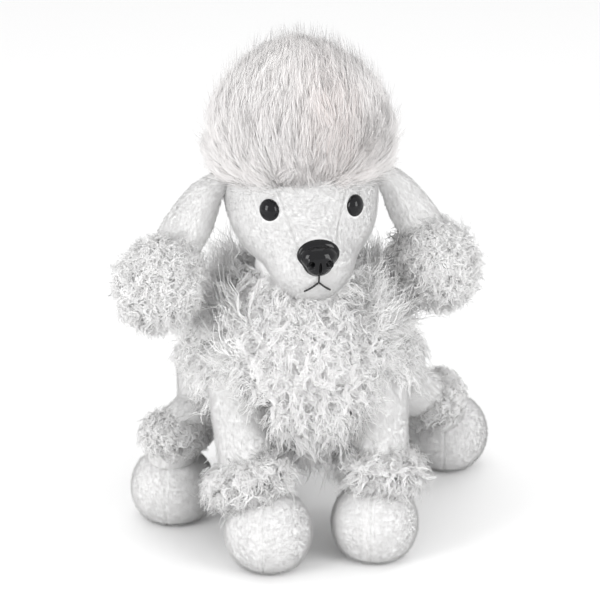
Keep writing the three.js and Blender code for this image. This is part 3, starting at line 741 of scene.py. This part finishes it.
def make_nose():
    """The moulded nose: a wide rounded top with a rim, two nostrils and a groove below."""
    tip = to_head(middle_of("nose")) / MM
    front = head_surface(0, tip[2])[0]
    middle = np.array([0, front[1] - NOSE_OUT, NOSE_HEIGHT])

    def field(points):
        local = (to_head(points) / MM - middle) * [1, 1, 1 / NOSE_TALL]
        rim = blended(*(ellipsoid(local, *lobe) for lobe in RIM_LOBES), LOBE_CREASE)
        dome = blended(*(ellipsoid(local, *lobe) for lobe in DOME_LOBES), LOBE_CREASE)
        shape = blended(rim, dome, RIM_CREASE)
        for side in (-1, 1):
            flat = local - np.array([side * NOSTRIL_APART, NOSTRIL_OUT, NOSTRIL_LOW])
            off_ring = np.hypot(flat[:, 0], flat[:, 2]) - NOSTRIL_RING
            shape = blended(shape, np.hypot(off_ring, flat[:, 1]) - NOSTRIL_WIRE, RIM_CREASE)
            shape = hollowed(shape, ellipsoid(flat, (0, 0, 0), NOSTRIL_RADII), NOSTRIL_CREASE)
        return hollowed(shape, ellipsoid(local, *PHILTRUM), PHILTRUM_CREASE) * MM

    points, faces = star_points(from_head((middle + NOSE_CENTRE) * MM), field, 6, 0.03)
    nose = mesh_piece("nose_moulding", points, faces, BLACK_PLASTIC, "head")
    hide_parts("nose")


# The mouth's stitches, across and up in mm in the head's frame. There are two arms.
MOUTH_STEM = [(0, -20.5), (0, -23), (0, -25.4)]
MOUTH_ARM = [(6.2, -30.6), (3.2, -28.2), (0, -25.2)]
THREAD_OVER_SKIN = 1.5
THREAD_RADIUS = 0.46
THREAD_TWIST = 0.06


def make_mouth():
    """Three black stitches in an upside-down Y, lying on the nap under the nose."""
    arms = [[(side * x, z) for x, z in MOUTH_ARM] for side in (-1, 1)]
    points, faces = [], []
    for stitch in (MOUTH_STEM, *arms):
        flat = smooth_line([(x, 0, z) for x, z in stitch], 10)
        line = head_surface(flat[:, 0], flat[:, 2])
        line[:, 1] -= THREAD_OVER_SKIN
        twist = THREAD_TWIST * np.sin(np.arange(len(line)) * 1.9)
        radii = (THREAD_RADIUS + twist) * np.r_[0.5, np.ones(len(line) - 2), 0.5]
        more, rings = tube_points(from_head(line * MM), radii * MM, 10)
        faces += [tuple(i + len(points) for i in face) for face in rings]
        points += list(more)
    mouth = mesh_piece("mouth_thread", points, faces, BLACK_THREAD, "head")
    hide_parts("mouth_stitching")


# ---- Topknot -----------------------------------------------------------------------------------

# The hair reaches a dome, in mm in the head's frame, and grows from a smaller core inside it.
DOME_MIDDLE = np.array([0, 4.0, 31.0])
DOME_RADII = np.array([45.0, 45.0, 43.0])
DOME_SKIN = 1.0
CORE_SHARE = 0.84
# Over this last stretch the core's front draws in to the forehead, and its back fills out.
CORE_DROP = 16.5
CORE_FRONT_IN, CORE_BACK_OUT = -6.5, 2.0
CORE_SINK = 1.0

HAIR_PER_MM2 = 4.6
HAIR_STEPS = 6
HAIR_LENGTHS = (11, 22)
HAIR_RADIUS = 0.08 * MM
HAIR_SOFT = 0.96
HAIR_OUTWARD = (0.22, 0.48)
HAIR_UPWARD = 0.95
HAIR_WANDER = 0.13
HAIR_HELD, HAIR_WISP_HELD = 0.45, 0.25
HAIR_WISP_CHANCE, HAIR_WISP_STRETCH, HAIR_WISP_OUTWARD = 0.06, 1.15, 0.6
# Hair flares out below this height, fully so over this depth and this far to the side.
FLARE_TOP, FLARE_DEPTH, FLARE_ASIDE, FLARE = 36, 20, 30, 0.45
HAIR_MOST = 5800
TUFTS = 260
TUFT_GATHER = (0.3, 0.8)
PARTING_ACROSS = 6
PARTING_SPREAD, PARTING_PUSH = 60, 0.12
# The pinkish tint in front: how far across and up its middle is, and its reach each way.
TINT_MIDDLE, TINT_REACH = (9, 38), (13, 22)


def core_field(points):
    """Distance to the topknot's core, which sits on the crown seam."""
    local = to_head(points) / MM
    below = np.clip((DOME_MIDDLE[2] - local[:, 2]) / CORE_DROP, 0, 1.2)
    front = local[:, 1] < DOME_MIDDLE[1]
    local[:, 1] += np.where(front, CORE_FRONT_IN, CORE_BACK_OUT) * below**1.6
    dome = ellipsoid(local, DOME_MIDDLE, DOME_RADII * CORE_SHARE)
    return hollowed(dome, local[:, 2] - (CROWN_SEAM / MM - CORE_SINK), 2) * MM


def combed_hair(place, rng):
    """Hairs from their roots, combed up over the dome and gathered into tufts.

    place and the hairs are in mm in the head's frame."""
    count = len(place)
    length = rng.uniform(*HAIR_LENGTHS, count)
    wisp = rng.random(count) < HAIR_WISP_CHANCE
    length = np.where(wisp, length * HAIR_WISP_STRETCH, length)
    outward_share = np.where(wisp, HAIR_WISP_OUTWARD, rng.uniform(*HAIR_OUTWARD, count))
    low_down = np.clip((FLARE_TOP - place[:, 2]) / FLARE_DEPTH, 0, 1)
    aside = np.clip(np.abs(place[:, 0]) / FLARE_ASIDE, 0, 1)
    outward_share += FLARE * (low_down * aside)
    wander = rng.normal(scale=HAIR_WANDER, size=(count, 3))
    parting = PARTING_PUSH * np.exp(-(place[:, 0] - PARTING_ACROSS) ** 2 / PARTING_SPREAD)
    lines = [place]
    for _ in range(HAIR_STEPS - 1):
        at = lines[-1]
        normal = unit((at - DOME_MIDDLE) / DOME_RADII**2)
        rise = UP - normal[:, 2:] * normal
        flow = unit(normal * outward_share[:, None] + rise * HAIR_UPWARD + wander)
        flow[:, 0] += parting * np.sign(at[:, 0] - PARTING_ACROSS) * np.clip(normal[:, 2], 0, 1)
        lines.append(at + unit(flow) * (length / (HAIR_STEPS - 1))[:, None])
    lines = np.stack(lines, axis=1)
    guides = rng.choice(count, TUFTS, replace=False)
    nearest = np.concatenate([
        np.argmin(np.linalg.norm(part[:, None] - place[guides], axis=-1), axis=1)
        for part in np.array_split(place, 20)
    ])
    gather = (rng.uniform(*TUFT_GATHER, count) * ~wisp)[:, None, None]
    along = np.linspace(0, 1, HAIR_STEPS)[None, :, None] ** 1.5
    lines = lines + (lines[guides][nearest] - lines) * gather * along
    outside = np.linalg.norm((lines - DOME_MIDDLE) / (DOME_RADII - DOME_SKIN), axis=-1)
    shrink = np.where(outside > 1, 1 / outside, 1)[..., None]
    hold = np.where(wisp, HAIR_WISP_HELD, HAIR_HELD)[:, None, None]
    return DOME_MIDDLE + (lines - DOME_MIDDLE) * (1 - hold + hold * shrink)


def make_topknot():
    """Long straight pile combed up over a dome, fine at its edge."""
    rng = np.random.default_rng(SEEDS["topknot"])
    points, faces = star_points(from_head(DOME_MIDDLE * MM), core_field, 6)
    core = mesh_piece("topknot_core", points, faces, DEEP_BACKING, "head")
    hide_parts("topknot")
    roots, facing = scatter(core, HAIR_PER_MM2, rng)
    place = to_head(roots) / MM
    kept = place[:, 2] > CROWN_SEAM / MM - CORE_SINK - 0.2
    place, facing = place[kept], facing[kept]
    # Hair at the lower edge is shaded as if it faced a little upward, as its tips do.
    facing[:, 2] = np.maximum(facing[:, 2], 0.25)
    facing = unit(facing)
    lines = combed_hair(place, rng)
    across = (place[:, 0] - TINT_MIDDLE[0]) / TINT_REACH[0]
    height = (place[:, 2] - TINT_MIDDLE[1]) / TINT_REACH[1]
    warm = np.exp(-across**2 - height**2) * (place[:, 1] < 0)
    tint = np.clip(rng.random(len(place)) * 0.35 + warm * rng.random(len(place)), 0, 1)
    add_pile("topknot_hair", from_head(lines * MM), facing, HAIR_SOFT, HAIR_RADIUS, tint, LONG_PILE,
             "head", HAIR_MOST)


# ---- Ears --------------------------------------------------------------------------------------

# Lengths in mm, in an ear's own frame: outward, across along its seam, and up from its tuft.
EAR_REACH = 41.0
EAR_TUCKED_IN = 5.5
EAR_TOP = 8.0
# Half the flap's width at shares of the way down it.
EAR_WIDTHS = [(0, 3.5), (0.12, 6), (0.3, 8.6), (0.5, 10.6), (0.72, 11.6), (0.88, 10.4), (1, 5)]
EAR_EDGE, EAR_BELLY = 1.3, 1.1
EAR_TUCK, EAR_TUCK_SHARE, EAR_STAND_OFF = 6.5, 0.3, 1.5
EAR_FOLD, EAR_FOLD_FROM, EAR_FOLD_WIDTH = 5.0, 0.25, 2.0
EAR_CROWN = 1.4
POM_HALF = np.array([14.0, 14.0, 17.0])
POM_SHIFT = {"left": np.array([-6.0, 0.0, 4.0]), "right": np.array([0.5, 0.0, 0.0])}


def flap_points(rows, around, inward):
    """Rings of points down a flap, which is crowned, folds at its inner edge and tucks in on top.

    inward is the way to the middle of the head, in the ear's frame."""
    widths = smooth_line(EAR_WIDTHS, 8)
    points = []
    for k in range(rows + 1):
        share = k / rows
        z = EAR_TOP - (EAR_REACH + EAR_TUCKED_IN) * share
        half = np.interp(share, widths[:, 0], widths[:, 1])
        thick = EAR_EDGE + EAR_BELLY * math.sin(math.pi * min(1.0, share + 0.08)) ** 0.7
        tuck = EAR_TUCK * max(0.0, 1 - share / EAR_TUCK_SHARE) ** 2 - EAR_STAND_OFF
        fold = EAR_FOLD * math.sin(math.pi * min(1.0, share * 0.9)) ** 1.5
        for i in range(around):
            angle = 2 * math.pi * i / around
            wide = half * math.copysign(abs(math.cos(angle)) ** 0.8, math.cos(angle))
            inner = max(0.0, -wide / half - EAR_FOLD_FROM) / (1 - EAR_FOLD_FROM)
            crown = EAR_CROWN * (1 - (wide / half) ** 2)
            deep = thick * math.sin(angle) + crown - fold * inner**2
            wide += EAR_FOLD_WIDTH * inner**2 * share
            points.append(np.array([deep, wide, z]) + tuck * inward)
    return points


def make_ear(side):
    """A smooth flap that hangs from its seam, and the curly tuft round its end."""
    body = f"ear_{side}"
    sign = 1 if side == "left" else -1
    root = pivot_of(f"ear_{side}_swing")
    upward = unit(root - middle_of(f"{body}_pom"))
    seam = np.array(JOINTS[f"ear_{side}_swing"]["axis"])
    across = unit(seam - (seam @ upward) * upward)
    outward = sign * np.cross(across, upward)
    turn = np.stack([outward, across, upward])
    inward = HEAD_MIDDLE - root
    inward[2] = 0
    rows, around = 40, 44
    points = np.asarray(flap_points(rows, around, turn @ unit(inward)))
    faces = []
    for k in range(rows):
        for i in range(around):
            j = (i + 1) % around
            faces.append((k * around + i, k * around + j, (k + 1) * around + j, (k + 1) * around + i))
    faces.append(tuple(reversed(range(around))))
    faces.append(tuple(rows * around + i for i in range(around)))
    if sign < 0:
        faces = [face[::-1] for face in faces]
    flap = mesh_piece(f"{body}_flap_skin", points * MM @ turn + root, faces, BACKING, body)
    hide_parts(f"{body}_outer", f"{body}_inner")
    short_pile(flap, body, SEEDS["ear_flap"] + sign, per_mm2=5.0, length=1.8, comb=-1.2 * upward)

    middle = middle_of(f"{body}_pom") + POM_SHIFT[side] @ turn * MM

    def field(spots):
        return ellipsoid((spots - middle) / MM, (0, 0, 0), POM_HALF, turn) * MM

    shell, rings = star_points(middle, field, 5, 0.04)
    pom = mesh_piece(f"{body}_pom_core", shell, rings, DEEP_BACKING, body)
    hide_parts(f"{body}_pom", f"{body}_pom_stuffing")
    curly_pile(pom, body, SEEDS["ear_pom"] + sign, locks_per_mm2=0.9, length=10.8,
               name=f"{body}_pom_curls", fibres=4, droop=0.15)


# ---- Torso and neck ----------------------------------------------------------------------------

LEG_RADIUS = 13.5 * MM
LEG_ROOM = 3.0 * MM
LEG_SWING = 20
PAW_RADIUS = 20.5 * MM
# How far a hind knee draws in to the body, as a share of the way, and how far it drops.
KNEE_INWARD = 0.12
KNEE_DROP = 4 * MM

# The torso's middle, and its lobes in mm from there: a middle and radii each.
TORSO_MIDDLE = np.array([(TORSO_LOW[0] + TORSO_HIGH[0]) / 2, NECK[1] + 12 * MM, NECK[2] - 52 * MM])
BELLY = ((0, 0, 0), (50, 50, 42))
CHEST = ((2, -22, 4), (40, 32, 36))
RUMP = ((2, 34, -18), (44, 38, 36))
COLLAR_LOW, COLLAR_HIGH, COLLAR_RADIUS = np.array([2.0, -12, 20]), np.array([2.0, -14, 52]), 23
TORSO_CREASE, COLLAR_CREASE, SOCKET_CREASE = 10, 14, 3 * MM

NECK_RADIUS = 18.5 * MM
NECK_DEPTH = 20 * MM
NECK_RISE = 2 * MM
NECK_INSIDE = 8 * MM
# The torso is bare this near a leg's room, and its curls and the neck's end this far under the seam.
SOCKET_BARE = 0.3 * MM
TORSO_BARE, NECK_BARE = 4 * MM, 2 * MM
RUFF_ASIDE = 24 * MM
RUFF_DEPTH = 42 * MM


def leg_route(name):
    """Hip, knee, ankle and paw of a leg, from its joint and its cuff and paw nodes."""
    hip = pivot_of(f"{name}_leg_swing")
    low, high = low_high(f"{name}_paw_cover")
    paw = np.array([*((low + high) / 2)[:2], high[2] - PAW_RADIUS])
    ankle = middle_of(f"{name}_cuff")
    knee = hip * 0.5 + ankle * 0.5
    if name.startswith("hind"):
        knee = knee + [(NECK[0] - knee[0]) * KNEE_INWARD, 0, -KNEE_DROP]
    return hip, knee, ankle, paw


def torso_field(points):
    """Distance to the stuffed torso, before the legs have their room in it."""
    local = (points - TORSO_MIDDLE) / MM
    belly, chest, rump = (ellipsoid(local, *lobe) for lobe in (BELLY, CHEST, RUMP))
    collar = capsule(local, COLLAR_LOW, COLLAR_HIGH, COLLAR_RADIUS)
    shape = blended(blended(belly, chest, TORSO_CREASE), rump, TORSO_CREASE)
    return blended(shape, collar, COLLAR_CREASE) * MM


def legs_room(points):
    """Distance to the nearest leg, with room for it to swing."""
    nearest = np.full(len(points), 1.0)
    for name in LEGS:
        hip, _, ankle, _ = leg_route(name)
        for degrees in np.linspace(-LEG_SWING, LEG_SWING, 5):
            turn = np.array(Matrix.Rotation(math.radians(degrees), 3, "X"))
            end = hip + turn @ (ankle - hip)
            nearest = np.minimum(nearest, capsule(points, hip, end, LEG_RADIUS + LEG_ROOM))
    return nearest


def make_torso():
    """The torso with its hip and shoulder sockets, its curls, and a longer ruff beside the neck."""

    def field(points):
        return hollowed(torso_field(points), legs_room(points), SOCKET_CREASE)

    points, faces = star_points(TORSO_MIDDLE, field, 6)
    torso = mesh_piece("torso_skin", points, faces, DEEP_BACKING, "torso")
    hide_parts("torso_cover", "torso_stuffing", "pellet_bag")

    def keep(roots):
        return (legs_room(roots) > SOCKET_BARE) & (roots[:, 2] < NECK[2] - TORSO_BARE)

    curly_pile(torso, "torso", SEEDS["torso"], locks_per_mm2=0.24, length=16.0, keep=keep,
               fibres=4, droop=0.3)

    def beside_neck(roots):
        aside = np.abs(roots[:, 0] - NECK[0]) > RUFF_ASIDE
        return keep(roots) & aside & (roots[:, 2] > NECK[2] - RUFF_DEPTH)

    curly_pile(torso, "torso", SEEDS["ruff"], locks_per_mm2=0.14, length=25.0, keep=beside_neck,
               name="torso_ruff_curls", fibres=4, droop=-0.2, spread=0.4)


def make_neck():
    """The short neck between the torso and the head, with curls up to its seam."""
    low, high = NECK - [0, 0, NECK_DEPTH], NECK + [0, 0, NECK_RISE]

    def field(points):
        return capsule(points, low, high, NECK_RADIUS)

    def below_seam(roots):
        return roots[:, 2] < NECK[2] - NECK_BARE

    points, faces = star_points(NECK - [0, 0, NECK_INSIDE], field, 5)
    neck = mesh_piece("neck_skin", points, faces, DEEP_BACKING, "neck")
    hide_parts("neck_sleeve", "neck_stuffing")
    curly_pile(neck, "neck", SEEDS["neck"], locks_per_mm2=0.3, length=10.0, keep=below_seam,
               droop=0.3)


# ---- Legs --------------------------------------------------------------------------------------

# The leg's radius along it, as shares of LEG_RADIUS, down to a front or a hind ankle.
LEG_SHARES = [0, 0.05, 0.6, 1]
LEG_TAPERS = {"front": [0.75, 1.0, 0.97, 0.85], "hind": [0.75, 1.0, 0.97, 0.76]}
LEG_TOP_IN = 0.4
# How far under the hip the leg's curls end, and their length in mm.
CURLS_DOWN = {"front": 6 * MM, "hind": 0}
SHOULDER_CURLS = {"front": 12.0, "hind": 8.0}
NAP_OVERLAP = 4 * MM
PAW_CLEAR = 19 * MM

PAW_WIDE, PAW_LONG = 0.995, 1.02
PAW_SOLE, PAW_SOLE_CREASE = 0.8 * MM, 2.5 * MM
PAW_SEAM_DEPTH, PAW_SEAM_WIDTH, PAW_SEAM_WAVER = 0.35 * MM, 0.6, 3.0 * MM
PAW_SEAM_BACK = 14 * MM
PAW_NAP_TOP = 17 * MM

# How far above the ankle the cuff's middle is, how much flatter than wide its core is, and the
# length of its curls in mm.
CUFF_LIFT = {"front": 3, "hind": 6}
CUFF_FLATNESS = {"front": 0.4, "hind": 0.46}
CUFF_CURLS = {"front": 11.5, "hind": 6.0}
CUFF_HALF = 6.6 * MM


def make_limb(name, seed, route):
    """The stuffed tube of a leg, bare below and curly round its top."""
    body = f"{name}_leg"
    end = name.split("_")[0]
    hip, knee, _, paw = route
    line = smooth_line(route, 12)
    line = np.vstack([hip + unit(hip - knee) * LEG_RADIUS * LEG_TOP_IN, line])
    radii = LEG_RADIUS * np.interp(np.linspace(0, 1, len(line)), LEG_SHARES, LEG_TAPERS[end])
    points, faces = tube_points(line, radii, 48)
    leg = mesh_piece(f"{body}_skin", points, faces, BACKING, body)
    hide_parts(f"{body}_cover", f"{body}_stuffing")
    top = hip[2] - CURLS_DOWN[end]

    def bare(roots):
        off_paw = np.linalg.norm(roots - paw, axis=1) > PAW_CLEAR
        return (roots[:, 2] < top + NAP_OVERLAP) & off_paw

    def shaggy(roots):
        return roots[:, 2] > top

    short_pile(leg, body, seed, per_mm2=3.6, length=2.0, comb=(0, -0.1, -0.9), keep=bare)
    curly_pile(leg, body, seed + 1, locks_per_mm2=0.3, length=SHOULDER_CURLS[end], keep=shaggy,
               name=f"{body}_shoulder_curls", droop=0.45)


def make_paw(name, seed, paw, upward):
    """A round paw with a flat sole and a seam over its front."""
    body = f"{name}_leg"

    def field(points):
        ball = ellipsoid(points, paw, (PAW_RADIUS * PAW_WIDE, PAW_RADIUS * PAW_LONG, PAW_RADIUS))
        return hollowed(ball, points[:, 2] - PAW_SOLE, PAW_SOLE_CREASE)

    points, faces = star_points(paw, field, 6, 0.04)
    local = points - paw
    off_seam = np.abs(local[:, 0] - PAW_SEAM_WAVER * np.sin(local[:, 1] * 60)) / MM
    groove = PAW_SEAM_DEPTH * np.exp(-(off_seam / PAW_SEAM_WIDTH) ** 2)
    groove = np.where(local[:, 1] < PAW_SEAM_BACK, groove, 0)
    points = points - unit(local) * groove[:, None]
    foot = mesh_piece(f"{name}_paw_skin", points, faces, BACKING, body)
    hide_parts(f"{name}_paw_cover", f"{name}_paw_filling")

    def outside_cuff(roots):
        return (roots - paw) @ upward < PAW_NAP_TOP

    short_pile(foot, body, seed, per_mm2=3.4, length=1.8, comb=(0, -0.6, -0.5), keep=outside_cuff)


def make_cuff(name, seed, ankle, upward):
    """The curly band round an ankle."""
    body = f"{name}_leg"
    end = name.split("_")[0]
    middle = ankle + upward * CUFF_LIFT[end] * MM

    def field(points):
        away = points - middle
        height = away @ upward
        across = np.linalg.norm(away - height[:, None] * upward, axis=-1)
        return np.hypot(across * CUFF_FLATNESS[end], height) - CUFF_HALF

    shell, rings = star_points(middle, field, 5, 0.04)
    cuff = mesh_piece(f"{name}_cuff_core", shell, rings, DEEP_BACKING, body)
    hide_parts(f"{name}_cuff")
    curly_pile(cuff, body, seed, locks_per_mm2=0.6, length=CUFF_CURLS[end],
               name=f"{name}_cuff_curls", fibres=4, droop=0.3, spread=0.8)


def make_leg(name, seed):
    """A whole leg: limb, paw and cuff."""
    route = leg_route(name)
    ankle, paw = route[2:]
    upward = unit(ankle - paw)
    make_limb(name, seed, route)
    make_paw(name, seed + 2, paw, upward)
    make_cuff(name, seed + 3, ankle, upward)


# ---- Tail --------------------------------------------------------------------------------------


# The tail's radius in mm at distances in mm from its root.
TAIL_STATIONS = (-8, -4, 0, 6, 12, 18, 24, 28)
TAIL_RADII = np.array([5, 8, 8.4, 7.6, 7.2, 7, 6.6, 5])
TAIL_POM_RADIUS = 8.5 * MM


def make_tail():
    """The short upright tail and its tuft, which the photograph doesn't show."""
    root = pivot_of("tail_swing")
    pom_middle = middle_of("tail_pom")
    along = unit(pom_middle - root)
    line = np.array([root + along * d * MM for d in TAIL_STATIONS])
    radii = TAIL_RADII * MM
    points, faces = tube_points(line, radii, 32)
    tail = mesh_piece("tail_skin", points, faces, BACKING, "tail")
    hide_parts("tail_cover", "tail_stuffing")
    short_pile(tail, "tail", SEEDS["tail"], per_mm2=3.4, length=2.0, comb=(0, 0.3, 0.6))

    def field(spots):
        return np.linalg.norm(spots - pom_middle, axis=-1) - TAIL_POM_RADIUS

    shell, rings = star_points(pom_middle, field, 5, 0.03)
    pom = mesh_piece("tail_pom_core", shell, rings, DEEP_BACKING, "tail")
    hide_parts("tail_pom", "tail_pom_stuffing")
    curly_pile(pom, "tail", SEEDS["tail_pom"], locks_per_mm2=0.8, length=9.0, name="tail_pom_curls")


# ---- The scene ---------------------------------------------------------------------------------

make_camera()
make_studio()
make_torso()
make_neck()
make_head()
for head_side in ("left", "right"):
    make_eye(head_side)
    make_ear(head_side)
make_nose()
make_mouth()
make_topknot()
for index, leg_name in enumerate(LEGS):
    make_leg(leg_name, SEEDS["legs"] + SEEDS_PER_LEG * index)
make_tail()

bpy.context.view_layer.update()
